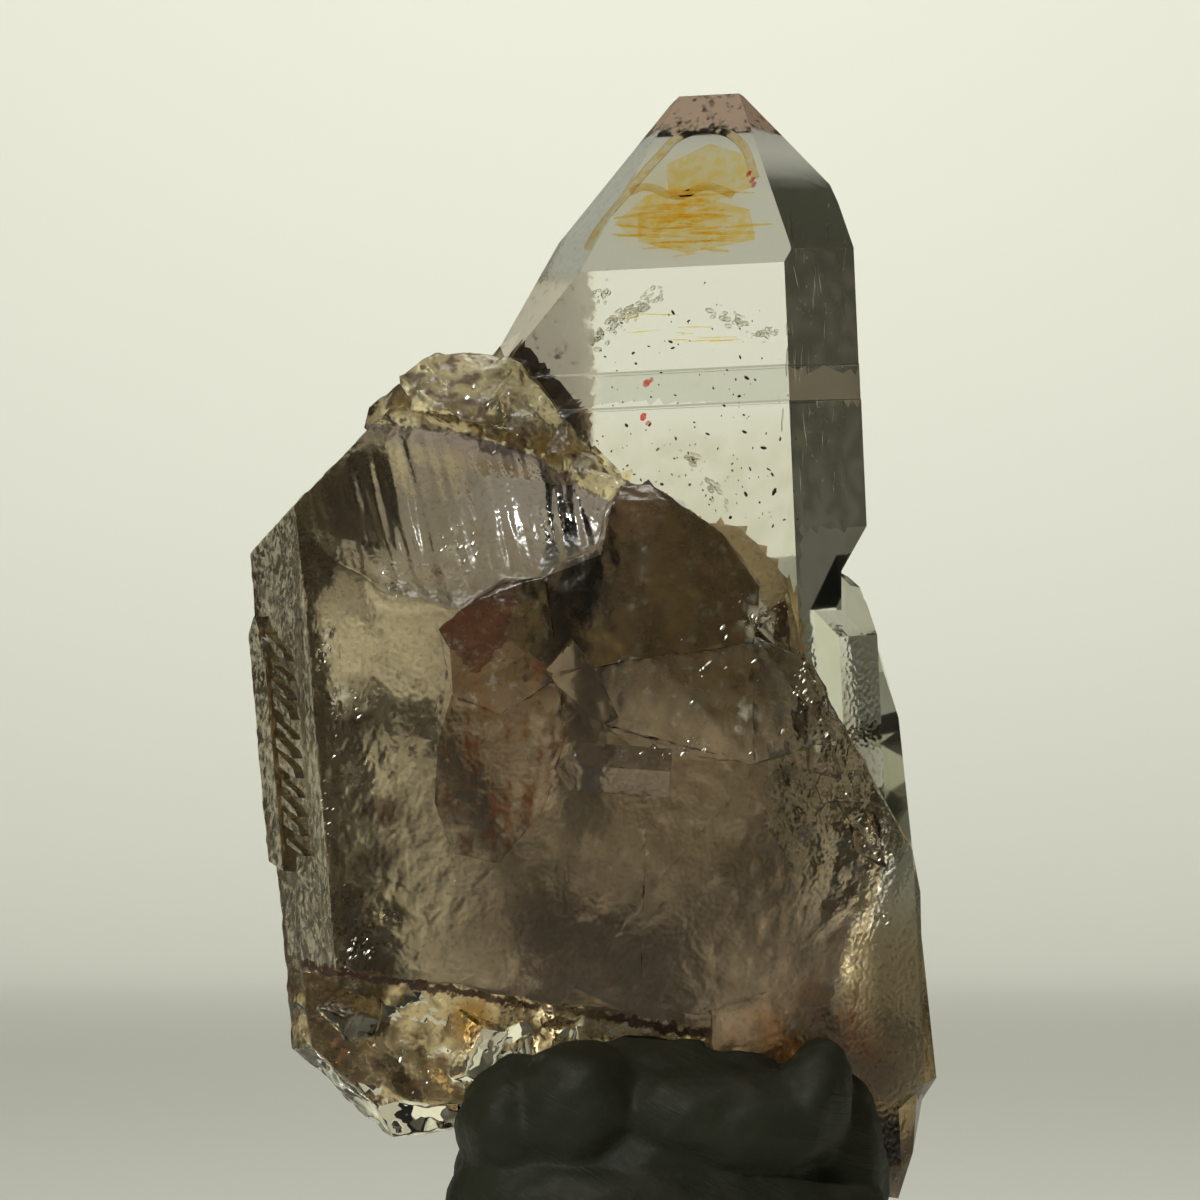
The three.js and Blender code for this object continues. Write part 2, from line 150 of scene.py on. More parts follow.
class InclusionLook(bpy.types.PropertyGroup):
    """What lies inside the clear point."""

    amber: FloatVectorProperty(
        name="Amber",
        description="Colour of the iron threads in the tip",
        subtype="COLOR",
        default=(1.0, 0.78, 0.22),
        min=0,
        max=1,
    )
    red: FloatVectorProperty(
        name="Red",
        description="Colour of the red flecks",
        subtype="COLOR",
        default=(0.8, 0.08, 0.05),
        min=0,
        max=1,
    )
    threads: IntProperty(name="Threads", description="Number of threads in the tip", default=46, min=1)
    specks: IntProperty(name="Specks", description="Number of specks in the clear point", default=220, min=1)
    bubbles: IntProperty(name="Bubbles", description="Number of bubbles in the veils", default=240, min=1)
    fibres: IntProperty(name="Fibres", description="Number of fibres in the right face", default=100, min=1)


class PuttyLook(bpy.types.PropertyGroup):
    """Colour and surface of the putty."""

    colour: FloatVectorProperty(
        name="Putty colour",
        description="Grey-green of the putty",
        subtype="COLOR",
        default=(0.036, 0.038, 0.022),
        min=0,
        max=1,
    )
    voxel: FloatProperty(
        name="Voxel", description="Size of the putty's mesh", default=0.33 * MM, subtype="DISTANCE"
    )


class StageSetup(bpy.types.PropertyGroup):
    """Camera and light."""

    lens: FloatProperty(name="Lens", description="Focal length in millimetres", default=400.0, min=20)
    frame_width: FloatProperty(
        name="Frame width",
        description="Width that the camera takes in at the cluster",
        default=75 * MM,
        subtype="DISTANCE",
    )
    back_light: FloatProperty(name="Back light", description="Power over the backdrop", default=1.66)
    floor_light: FloatProperty(name="Floor light", description="Power over the floor", default=0.43)
    front_light: FloatProperty(name="Front light", description="Power on the front", default=0.065)
    fill: FloatProperty(name="Fill", description="Strength of the surrounding light", default=0.09)


class ClusterSettings(bpy.types.PropertyGroup):
    """All settings of the cluster."""

    quartz: PointerProperty(type=QuartzLook)
    inclusions: PointerProperty(type=InclusionLook)
    putty: PointerProperty(type=PuttyLook)
    stage: PointerProperty(type=StageSetup)


# Shader graphs written as expressions


class Wire:
    """A shader socket that takes part in Python sums."""

    def __init__(self, graph, socket):
        self.graph = graph
        self.socket = socket

    def math(self, operation, other):
        return self.graph.node("ShaderNodeMath", {"operation": operation}, {0: self, 1: other})

    def __add__(self, other):
        return self.math("ADD", other)

    __radd__ = __add__

    def __mul__(self, other):
        return self.math("MULTIPLY", other)

    __rmul__ = __mul__

    def __sub__(self, other):
        return self.math("SUBTRACT", other)

    def most(self, other):
        return self.math("MAXIMUM", other)

    def least(self, other):
        return self.math("MINIMUM", other)


class Graph:
    """A material's node tree."""

    def __init__(self, name):
        self.material = bpy.data.materials.new(name)
        self.material.use_nodes = True
        self.tree = self.material.node_tree
        self.tree.nodes.clear()

    def node(self, kind, settings=None, inputs=None, output=0):
        made = self.tree.nodes.new(kind)
        for key, value in (settings or {}).items():
            setattr(made, key, value)
        for key, value in (inputs or {}).items():
            socket = made.inputs[key]
            if isinstance(value, Wire):
                self.tree.links.new(value.socket, socket)
            elif socket.type == "RGBA" and len(value) == 3:
                socket.default_value = (*value, 1.0)
            else:
                socket.default_value = value
        return Wire(self, made.outputs[output])

    def place(self):
        """Where a point of the piece lies, in millimetres of the crystal drawing."""
        spot_m = self.node("ShaderNodeTexCoord", output="Object")
        scaled = self.node("ShaderNodeVectorMath", {"operation": "SCALE"}, {0: spot_m, "Scale": 1 / MM})
        return self.node("ShaderNodeVectorMath", {"operation": "SUBTRACT"}, {0: scaled, 1: DRAWN_ORIGIN})

    def parts(self, vector):
        split = self.node("ShaderNodeSeparateXYZ", inputs={0: vector})
        outputs = split.socket.node.outputs
        return [Wire(self, outputs[i]) for i in range(3)]

    def noise(self, vector, size, detail=3.0, rough=0.55, twist=0.0):
        settings = {"noise_dimensions": "3D"}
        values = {"Vector": vector, "Scale": 1 / size, "Detail": detail}
        values.update({"Roughness": rough, "Distortion": twist})
        return self.node("ShaderNodeTexNoise", settings, values)

    def ramp(self, value, low, high, start=0.0, end=1.0):
        """Value eased from start at low to end at high."""
        settings = {"interpolation_type": "SMOOTHSTEP"}
        values = {"Value": value, 1: low, 2: high, 3: start, 4: end}
        return self.node("ShaderNodeMapRange", settings, values)

    def mix(self, share, first, second):
        values = {"Factor": share, 6: first, 7: second}
        return self.node("ShaderNodeMix", {"data_type": "RGBA"}, values, output=2)

    def multiplied(self, first, second):
        settings = {"data_type": "RGBA", "blend_type": "MULTIPLY"}
        return self.node("ShaderNodeMix", settings, {"Factor": 1.0, 6: first, 7: second}, output=2)

    def stretch(self, vector, scale, turn=(0, 0, 0)):
        return self.node("ShaderNodeMapping", {"vector_type": "TEXTURE"}, {0: vector, 2: turn, 3: scale})

    def finish(self, surface, volume=None):
        self.tree.links.new(surface.socket, self.out().inputs["Surface"])
        if volume is not None:
            self.tree.links.new(volume.socket, self.out().inputs["Volume"])
        return self.material

    def out(self):
        for made in self.tree.nodes:
            if made.bl_idname == "ShaderNodeOutputMaterial":
                return made
        return self.tree.nodes.new("ShaderNodeOutputMaterial")


# Mesh helpers


def settings():
    return bpy.context.scene.amethyst_cluster


def only(piece):
    """Leaves the piece as the one selected and active object."""
    for other in bpy.context.selected_objects:
        other.select_set(False)
    piece.select_set(True)
    bpy.context.view_layer.objects.active = piece


def edit(piece, kind="FACE"):
    only(piece)
    bpy.ops.object.mode_set(mode="EDIT")
    bpy.ops.mesh.select_mode(type=kind)


def done():
    bpy.ops.object.mode_set(mode="OBJECT")


def cad_copy(node, name):
    """A new piece with the merged mesh of a CAD node."""
    piece = bpy.data.objects.new(name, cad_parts[node].data.copy())
    bpy.context.scene.collection.objects.link(piece)
    piece.data.materials.clear()
    edit(piece)
    bpy.ops.mesh.select_all(action="SELECT")
    bpy.ops.mesh.remove_doubles(threshold=2e-6)
    done()
    return piece


def settle(piece, node=None):
    """Puts the piece on the root body and hides the CAD node that it stands for."""
    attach(piece, "root")
    if node:
        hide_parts(node)


def points_of(piece):
    places = np.empty(len(piece.data.vertices) * 3)
    piece.data.vertices.foreach_get("co", places)
    return places.reshape(-1, 3)


def drawn(places):
    """Places in the frame, in metres, as millimetres of the crystal drawing."""
    return places / MM - np.array(DRAWN_ORIGIN)


def modify(piece, kind, **values):
    """Adds a modifier and applies it."""
    only(piece)
    made = piece.modifiers.new(kind.title(), kind)
    for key, value in values.items():
        setattr(made, key, value)
    bpy.ops.object.modifier_apply(modifier=made.name)


def fibre_axes(name, sizes, turn):
    """An empty whose axes stretch a relief to a grain of those sizes in millimetres."""
    axes = bpy.data.objects.new(name, None)
    axes.scale = [size * MM for size in sizes]
    axes.rotation_euler = turn
    bpy.context.scene.collection.objects.link(axes)
    bpy.context.view_layer.update()
    return axes


def relief(piece, name, kind, size, height, group="", axes=None, **texture_values):
    """Raises the surface by a procedural texture of that grain size."""
    texture = bpy.data.textures.new(name, kind)
    for key, value in {"noise_scale": size, **texture_values}.items():
        setattr(texture, key, value)
    values = {"texture": texture, "strength": height, "mid_level": 0.5, "vertex_group": group}
    if axes:
        modify(piece, "DISPLACE", texture_coords="OBJECT", texture_coords_object=axes, **values)
        bpy.data.objects.remove(axes)
    else:
        modify(piece, "DISPLACE", texture_coords="LOCAL", **values)


def refine(piece, wanted, longest):
    """Splits edges between wanted vertices until none is longer than the given length."""
    for _ in range(8):
        mesh = piece.data
        ends = np.empty(len(mesh.edges) * 2, dtype=int)
        mesh.edges.foreach_get("vertices", ends)
        ends = ends.reshape(-1, 2)
        places = points_of(piece)
        chosen = wanted(drawn(places))
        length = np.linalg.norm(places[ends[:, 0]] - places[ends[:, 1]], axis=1)
        long_edges = chosen[ends].any(axis=1) & (length > longest)
        if not long_edges.any():
            return
        edit(piece, "EDGE")
        bpy.ops.mesh.select_all(action="DESELECT")
        done()
        mesh.edges.foreach_set("select", long_edges)
        edit(piece, "EDGE")
        bpy.ops.mesh.subdivide(number_cuts=1)
        bpy.ops.mesh.select_all(action="SELECT")
        bpy.ops.mesh.quads_convert_to_tris()
        done()


# Where a finish lies on the quartz


def rise(value, low, high):
    """Value eased from 0 at low to 1 at high."""
    share = np.clip((value - low) / (high - low), 0, 1)
    return share * share * (3 - 2 * share)


def within(outline, places):
    """Which places lie inside an outline, seen from the front."""
    x, z = places[:, 0], places[:, 2]
    found = np.zeros(len(places), dtype=bool)
    for (x0, z0), (x1, z1) in zip(outline, outline[1:] + outline[:1]):
        if z0 == z1:
            continue
        crosses = (z0 > z) != (z1 > z)
        found ^= crosses & (x < x0 + (z - z0) * (x1 - x0) / (z1 - z0))
    return found


def round_spot(places, centre, radius, stretch=(1, 1, 1)):
    """One at the centre, falling to nothing at the radius."""
    away = np.linalg.norm((places - np.array(centre)) / np.array(stretch), axis=1)
    return rise(away, radius, radius * 0.4)


def face_normals(piece):
    normals = np.empty(len(piece.data.polygons) * 3)
    piece.data.polygons.foreach_get("normal", normals)
    return normals.reshape(-1, 3)


def face_middles(piece):
    middles = np.empty(len(piece.data.polygons) * 3)
    piece.data.polygons.foreach_get("center", middles)
    return drawn(middles.reshape(-1, 3))


def aligned(normals, compass, spread=3.0):
    """Which normals have that compass angle, or one a whole number of quartz faces from it."""
    turn = (np.degrees(np.arctan2(normals[:, 1], normals[:, 0])) - compass) % 60
    return np.minimum(turn, 60 - turn) < spread


class Skin:
    """The quartz's finish at every corner of its faces."""

    def __init__(self, piece):
        self.mesh = piece.data
        self.vertex = np.empty(len(self.mesh.loops), dtype=int)
        self.mesh.loops.foreach_get("vertex_index", self.vertex)
        corners = np.empty(len(self.mesh.polygons), dtype=int)
        self.mesh.polygons.foreach_get("loop_total", corners)
        face = np.repeat(np.arange(len(corners)), corners)
        self.spots = drawn(points_of(piece))
        self.at = self.spots[self.vertex]
        self.face_at = face_middles(piece)[face]
        self.facing = face_normals(piece)[face]
        self.tint = np.ones((len(self.vertex), 3))
        self.stain = np.ones((len(self.vertex), 3))
        self.finish = np.zeros((len(self.vertex), 3))

    def on_face(self, normal, least):
        """Which corners belong to faces whose normal is that close to the given one."""
        return self.facing @ np.array(normal) > least

    def mottle(self, size, seed, stretch=(1, 1, 1)):
        """Cloudy values from 0 to 1, with clouds of that size in millimetres."""
        places = self.spots / (np.array(stretch) * size) + seed
        values = np.array([noise.fractal(Vector(p), 0.9, 2.0, 4) for p in places])
        return rise(values, -0.45, 0.45)[self.vertex]

    def paint(self, share, tint=None, stain=None, rough=None, cover=None, broken=None):
        """Moves the finish towards the given values by a share from 0 to 1 at each corner."""
        share = np.clip(np.broadcast_to(share, len(self.vertex)).astype(float), 0, 1)
        for layer, colour in ((self.tint, tint), (self.stain, stain)):
            if colour is not None:
                layer += share[:, None] * (np.array(colour) - layer)
        for i, value in enumerate((rough, cover, broken)):
            if value is not None:
                self.finish[:, i] += share * (value - self.finish[:, i])

    def save(self):
        for name in ("tint", "stain", "finish"):
            values = getattr(self, name)
            layer = self.mesh.attributes.new(name, "FLOAT_COLOR", "CORNER")
            layer.data.foreach_set("color", np.c_[values, np.ones(len(values))].ravel())


# The quartz

# Outward normals of the tall point's faces
FRONT_SIDE, RIGHT_SIDE, FAR_SIDE = (-0.216, -0.976, 0.0), (0.737, -0.676, 0.0), (-0.954, -0.3, 0.0)
FRONT_TIP, LEFT_TIP, RIGHT_TIP = (-0.17, -0.767, 0.618), (-0.75, -0.236, 0.618), (0.58, -0.53, 0.618)
SIDES_FROM, TIPS_FROM = 44, 60  # heights above which those sides and tips lie, in millimetres

# Centre, radius and stretch of the shell-like hollow, and of the sheen in it
HOLLOW = ((-8, -11, 46.0), 11.5, (1.05, 1.4, 0.56))
SHEEN = ((-8, -11, 46.4), 11.5, (1.05, 1.4, 0.58))


def broken_front(places):
    """The broken and hazy front: everything but the clear points behind it."""
    x, y, z = places.T
    front = (y < -7.9) | ((y < -3) & (x < 0) & (z > 49.5))
    tall_point = (z > 47.5) & (z > 56.6 - 1.07 * (x + 4.2))
    return front & (z < 57) & ~tall_point


def silky_hollow(places):
    """The shell-like hollow in the top of the front crystal."""
    return broken_front(places) & (round_spot(places, *HOLLOW) > 0)


def break_height(x):
    """Height of the lower edge of the front crystal, where the base broke away."""
    (x0, z0), (x1, z1) = BREAK_LEFT, BREAK_RIGHT
    return z0 + (x - x0) * (z1 - z0) / (x1 - x0)


def paint_clear_points(skin, look):
    """The tall point and the lower ones: clear, with a lilac tip, a grey band of painted shade and a cloudy
    foot; painted shade darkens the right tip and side, and a pale frosted layer painted left of the point
    stands in for light through those faces.
    """
    x, y, z = skin.at.T
    skin.paint(1, tint=look.clear, stain=look.crust, rough=0.015, cover=0, broken=0)
    cloud = skin.mottle(1.6, 3)
    front_side = skin.on_face(FRONT_SIDE, 0.99)
    front_tip = skin.on_face(FRONT_TIP, 0.98)
    left_tip = skin.on_face(LEFT_TIP, 0.96)
    right_side = skin.on_face(RIGHT_SIDE, 0.98) & (skin.face_at[:, 0] > 10)
    skin.paint(rise(z, 67.5, 71.6) * (z > 60), tint=[0.62 * c + 0.2 for c in look.lilac])
    skin.paint(front_tip, tint=(0.97, 0.95, 0.85), rough=0.03)
    skin.paint(front_tip * rise(z, 68.2, 71.4), tint=[0.7 * c + 0.2 for c in look.lilac])
    skin.paint(rise(z, 69.2, 70.6), stain=(0.58, 0.4, 0.27), rough=0.3, cover=0.55)
    amber = round_spot(skin.at, (5.4, -5, 65.5), 5.0, (1.1, 2, 0.9))
    skin.paint(front_tip * amber * 0.8, tint=(0.93, 0.74, 0.34))
    skin.paint(left_tip, tint=(0.94, 0.95, 0.9), rough=0.2, broken=0.45)
    face_z = skin.face_at[:, 2]
    band = (face_z > 52.9) & (face_z < 54.9)
    # Painted shade: the grey band between the ledges is a darker tint standing in for the shade seen through
    # the tilted ledge faces.
    skin.paint(front_side * band, tint=(0.62, 0.64, 0.56), rough=0.05)
    low = front_side * rise(z, 52.8, 49.5)
    skin.paint(low, tint=(0.9, 0.88, 0.76), rough=0.09)
    skin.paint(low * cloud * 0.6, tint=(0.66, 0.6, 0.42), rough=0.22)
    right_tip = skin.on_face(RIGHT_TIP, 0.97)
    # Painted shade: a near-black tint on the right tip's lower part and a grey tint on the right side stand
    # in for the dark surroundings seen through these faces.
    skin.paint(right_tip * rise(z, 69, 66.5), tint=(0.012, 0.012, 0.007), rough=0.035)
    skin.paint(right_side, tint=(0.33, 0.32, 0.24), rough=0.035)
    speckle = rise(skin.mottle(1.0, 7, (1, 1, 1.6)), 0.55, 0.8)
    skin.paint(right_side * speckle * 0.8, tint=(0.62, 0.6, 0.46), rough=0.22)
    skin.paint(right_side & band, tint=(1.0, 0.76, 0.5), rough=0.3)
    far_side = skin.on_face(FAR_SIDE, 0.97) & (face_z > SIDES_FROM) & (skin.face_at[:, 0] < 3)
    by_crust = (skin.face_at[:, 0] < 0.4) & (skin.face_at[:, 0] > -14) & (face_z > 49)
    by_crust &= ~front_side & (skin.facing[:, 1] < 0)
    # Painted light: a pale frosted layer on the far side, the faces by the crust and the left of the front
    # side stands in for light that shines through these faces.
    painted_light_faces = np.maximum(far_side, by_crust * rise(z, 61.5, 60))
    painted_light_faces = np.maximum(painted_light_faces, front_side * rise(x, 0.4, -0.1) * (face_z > 49))
    skin.paint(painted_light_faces, tint=(0.95, 0.88, 0.7), stain=(0.9, 0.84, 0.66), rough=0.5, cover=0.6, broken=0.1)
    lower_points = (skin.face_at[:, 0] > 13) & (skin.face_at[:, 2] < 45)
    skin.paint(lower_points, tint=(0.86, 0.88, 0.76), rough=0.06)
    skin.paint(lower_points * cloud * 0.5, tint=(0.7, 0.68, 0.5), rough=0.15)


def paint_front_crystal(skin, look):
    """The hazy front crystal with its silky hollow and a sheen painted in it, glassy left side and clear
    lower tip.
    """
    x, y, z = skin.at.T
    front = broken_front(skin.face_at)
    broad = skin.mottle(5, 11)
    patchy = skin.mottle(1.7, 23)
    skin.paint(front, tint=look.smoky, stain=(0.3, 0.22, 0.15), rough=0.4, cover=0.1, broken=0.5)
    skin.paint(front * broad * 0.4, tint=[0.55 * c for c in look.smoky])
    skin.paint(front * rise(patchy, 0.6, 0.95) * 0.5, tint=[2.2 * c for c in look.smoky], rough=0.3)
    skin.paint(front * rise(x, -5, -14) * 0.8, tint=(0.4, 0.28, 0.135), rough=0.26)
    brown = round_spot(skin.at, (-13.2, -14, 26), 4.2) + round_spot(skin.at, (-14.5, -14, 34), 2.6)
    skin.paint(
        front * brown * patchy,
        tint=(0.022, 0.01, 0.003), stain=(0.16, 0.09, 0.035), rough=0.4, cover=0.3,
    )
    hollow = round_spot(skin.at, *SHEEN) * (skin.facing[:, 2] > 0.1)
    # Painted sheen: a lighter tint on the hollow's upward faces.
    skin.paint(front * hollow * 0.9, tint=(0.23, 0.165, 0.11), rough=0.22, cover=0.04, broken=0.3)
    rim = round_spot(skin.at, (-1.8, -10, 46.8), 6.0, (1.3, 1.4, 0.5)) * (skin.facing[:, 2] > 0.1)
    skin.paint(front * rim * 0.75, tint=(0.36, 0.27, 0.26), rough=0.1)
    edge = rise(np.abs(z - (50.6 - 0.14 * (x + 8))), 1.6, 0.2) * (x < 1) * (x > -16) * (y > -13)
    skin.paint(front * edge * 0.6, tint=(0.12, 0.085, 0.1), rough=0.2)
    left_side = (x < -15.5) & aligned(skin.facing, 30, 4) & (skin.facing[:, 0] < -0.5)
    skin.paint(
        left_side,
        tint=(0.98, 0.92, 0.64), stain=(0.66, 0.6, 0.42), rough=0.26, cover=0.4, broken=0.05,
    )
    skin.paint(left_side * patchy * 0.3, tint=(0.5, 0.44, 0.3), rough=0.3)


def paint_shards(skin, look):
    """The dark shards with their rust, the stained plate, the flat window and the small crystal."""
    x, y, z = skin.at.T
    ahead = (skin.face_at[:, 1] < -11.5) & (skin.facing[:, 1] < 0.35)
    broad = skin.mottle(3, 31)
    streaks = skin.mottle(1.0, 41, (0.6, 1, 3.2))
    shade = round_spot(skin.at, (8, -13, 30), 11, (1, 1, 0.9)) * ahead
    skin.paint(shade * 0.6, tint=[3.4 * c for c in look.dark])
    shards = ahead & within(SHARDS, skin.face_at)
    skin.paint(
        shards * rise(z, 30.5, 36),
        tint=look.dark, stain=(0.15, 0.1, 0.055), rough=0.27, cover=0.12, broken=0.22,
    )
    skin.paint(
        shards * rise(broad, 0.5, 0.9) * rise(z, 31, 36) * 0.6,
        tint=[2.4 * c for c in look.dark], rough=0.24,
    )
    stained = ahead & within(STAINED, skin.face_at)
    fade = stained * rise(x, -1.5, -6.5) * rise(z, 24, 28)
    skin.paint(fade * 0.85, tint=(0.032, 0.012, 0.003), stain=look.rust, rough=0.36, cover=0.12, broken=0.6)
    skin.paint(
        stained * rise(streaks, 0.5, 0.9),
        tint=(0.04, 0.011, 0.002), stain=(0.16, 0.05, 0.014), rough=0.4, cover=0.3,
    )
    wing = ahead & within(WING, skin.face_at)
    skin.paint(
        wing,
        tint=(0.011, 0.0016, 0.0003), stain=(0.04, 0.011, 0.003), rough=0.34, cover=0.2,
        broken=0.4,
    )
    horn = round_spot(skin.at, (2.2, -14, 47), 3.4, (1, 1.5, 1)) * shards
    skin.paint(horn * 0.7, tint=(0.04, 0.014, 0.004), stain=(0.18, 0.09, 0.035), rough=0.28, cover=0.12)
    window = (skin.face_at[:, 1] < -12) & within(WINDOW, skin.face_at)
    skin.paint(window, tint=(0.1, 0.055, 0.028), rough=0.3, cover=0.03, broken=0.2)
    small = (skin.face_at[:, 1] < -14.35) & within(FLAT_CRYSTAL, skin.face_at)
    skin.paint(
        small,
        tint=(0.055, 0.029, 0.015), stain=(0.04, 0.02, 0.015), rough=0.3, cover=0.06, broken=0.5,
    )
    slope = round_spot(skin.at, (15.5, -10, 30), 9.5, (0.8, 1, 1.3)) * (skin.facing[:, 0] > 0.25)
    skin.paint(slope * 0.8, tint=(0.11, 0.072, 0.034), rough=0.08, broken=1.0)


GLINTS = (
    (-8.2, 44.2, 1.5), (-12.2, 42.2, 1.2), (-16.4, 38.0, 1.3), (-15.6, 34.6, 1.1),
    (-14.8, 18.8, 1.2), (-2.6, 45.4, 2.0),
    (10.8, 39.4, 1.9), (9.4, 33.4, 1.2), (18.4, 26.0, 1.8), (17.0, 20.8, 1.4), (14.4, 31.6, 1.3),
    (-16.8, 44.0, 1.6),
)  # x, z and radius of broken spots with a painted highlight


def paint_glints(skin, look):
    """Small freshly broken spots that catch the light by low roughness and bump, with a lighter tint painted
    on them as highlight.
    """
    ahead = skin.facing[:, 1] < 0.3
    splinters = rise(skin.mottle(0.8, 67), 0.5, 0.62)
    for x, z, radius in GLINTS:
        away = np.hypot(skin.at[:, 0] - x, skin.at[:, 2] - z)
        share = rise(away, radius, 0.3 * radius) * ahead * (skin.at[:, 1] < -4) * splinters
        # Painted highlight: a lighter tint, together with low roughness and strong bump.
        skin.paint(share * 0.85, tint=(0.5, 0.42, 0.29), rough=0.06, cover=0, broken=1.0)


def paint_crust(skin, look):
    """The pale crust along the seam, the tan one by the horn, and what lies under the broken edge."""
    x, y, z = skin.at.T
    patchy = skin.mottle(0.9, 53)
    broad = skin.mottle(2.4, 59)
    seam = within(CRUST, skin.face_at) & (skin.face_at[:, 1] > -12.5) & (skin.face_at[:, 1] < -2)
    skin.paint(seam, tint=(1.0, 0.74, 0.32), stain=look.crust, rough=0.3, cover=0.14, broken=0.55)
    skin.paint(seam * rise(broad, 0.5, 0.8) * 0.7, tint=(0.62, 0.4, 0.13), rough=0.4, cover=0.2)
    skin.paint(
        seam * rise(patchy, 0.86, 0.98),
        tint=(0.12, 0.07, 0.03), stain=(0.16, 0.09, 0.04), rough=0.5, cover=0.5,
    )
    tan = within(TAN_CRUST, skin.face_at) & (skin.face_at[:, 1] > -13) & (skin.face_at[:, 1] < -5)
    skin.paint(tan, tint=(0.22, 0.12, 0.035), stain=look.crust, rough=0.42, cover=0.25, broken=0.6)
    under = (skin.face_at[:, 2] < break_height(skin.face_at[:, 0]) + 0.3) & (skin.face_at[:, 1] < -6)
    left = under & (skin.face_at[:, 0] < 7)
    skin.paint(left, tint=(0.9, 0.56, 0.2), stain=(0.5, 0.3, 0.12), rough=0.24, cover=0.14, broken=0.5)
    skin.paint(
        left * rise(patchy, 0.55, 0.85) * 0.8,
        tint=(0.1, 0.04, 0.01), stain=look.rust, rough=0.4, cover=0.35,
    )
    tip = left & (skin.facing[:, 2] < -0.2)
    skin.paint(tip, tint=(1.0, 0.93, 0.7), rough=0.05, cover=0.02, broken=0.05)
    foot = round_spot(skin.at, (14.5, -9, 11.5), 8.5, (1, 1.2, 0.85)) * (skin.face_at[:, 1] < -2)
    root = rise(z, 26, 18) * (skin.face_at[:, 0] > 13) * (skin.face_at[:, 1] > -9)
    skin.paint(root * 0.9, tint=(0.42, 0.29, 0.12), stain=look.crust, rough=0.24, cover=0.2, broken=0.7)
    skin.paint(foot * 0.9, tint=(0.075, 0.022, 0.0035), stain=look.rust, rough=0.34, cover=0.12, broken=0.8)
    skin.paint(
        foot * rise(broad, 0.45, 0.75),
        tint=(0.13, 0.035, 0.006), stain=look.rust, rough=0.36, cover=0.2,
    )
    blob = round_spot(skin.at, (-7.4, -11, 14.6), 2.2) * left
    skin.paint(blob, tint=(0.36, 0.13, 0.012), stain=(0.5, 0.2, 0.04), rough=0.25, cover=0.2)


def quartz_material(look):
    g = Graph("quartz")
    p = g.place()
    x, y, z = g.parts(p)
    tint = g.node("ShaderNodeAttribute", {"attribute_name": "tint"}, output="Color")
    stain = g.node("ShaderNodeAttribute", {"attribute_name": "stain"}, output="Color")
    finish = g.node("ShaderNodeAttribute", {"attribute_name": "finish"}, output="Vector")
    rough, cover, broken = g.parts(finish)
    fine = g.noise(p, 0.8, 2.0, 0.62)
    grit = g.noise(p, 0.3, 0.0)

    # Specks and small clouds in the hazy parts
    shade = g.ramp(fine, 0.5, 0.74) * broken
    tint = g.mix(shade * 0.55, tint, g.multiplied(tint, (0.4, 0.34, 0.26)))
    tint = g.mix(g.ramp(fine, 0.42, 0.24) * broken * 0.3, tint, (0.3, 0.25, 0.17))
    tint = g.mix(g.ramp(grit, 0.6, 0.7) * broken * 0.7, tint, (0.02, 0.012, 0.006))
    # A dark red-brown line along the lower break: partly rust, partly painted shadow under the overhang.
    (x0, z0), (x1, z1) = BREAK_LEFT, BREAK_RIGHT
    edge = z - (x - x0) * ((z1 - z0) / (x1 - x0)) - z0 + (fine - 0.5) * 1.6
    rust_and_shadow_line = g.ramp(edge * edge, 0.12, 0.02) * g.ramp(y, -9.5, -10.5) * g.ramp(x, 8.0, 6.5)
    tint = g.mix(rust_and_shadow_line * 0.9, tint, (0.035, 0.01, 0.006))
    stain = g.mix(rust_and_shadow_line, stain, (0.06, 0.016, 0.008))

    height = grit * broken
    normal = g.node("ShaderNodeBump", {}, {"Strength": 0.4, "Distance": 0.16 * MM, "Height": height})
    glass = g.node(
        "ShaderNodeBsdfPrincipled",
        {},
        {
            "Base Color": tint,
            "Roughness": rough + (fine - 0.5) * broken * 0.3,
            "IOR": look.ior,
            "Transmission Weight": 1.0,
            "Normal": normal,
        },
    )
    dull = g.node("ShaderNodeBsdfPrincipled", {}, {"Base Color": stain, "Roughness": 0.6, "Normal": normal})
    grains = (fine * 0.7 + grit * 0.3 - 0.72) * 5 + cover * 4
    share = (g.ramp(grains, 0.0, 1.0) * 0.8 * (cover * 6).least(1.0)).most(rust_and_shadow_line * 0.75)
    surface = g.node("ShaderNodeMixShader", {}, {0: share.least(0.95), 1: glass, 2: dull})
    volume = g.node(
        "ShaderNodeVolumeAbsorption", {}, {"Color": (0.8, 0.74, 0.62), "Density": look.absorption}
    )
    return g.finish(surface, volume)


def group_of(piece, name, weights):
    """A vertex group with a weight for every vertex."""
    group = piece.vertex_groups.new(name=name)
    for step in np.unique(np.round(weights, 1)):
        if step > 0:
            group.add([int(i) for i in np.flatnonzero(np.round(weights, 1) == step)], float(step), "REPLACE")
    return name


# Longest mesh edge on plain faces, in the clear point, on the broken front and in its hollow
PLAIN_EDGE, CLEAR_EDGE, FRONT_EDGE, HOLLOW_EDGE = 2.2 * MM, 1.2 * MM, 0.55 * MM, 0.3 * MM


def clear_part(places):
    """The upper part of the clear points."""
    return (places[:, 2] > 42) & (places[:, 0] > -4)


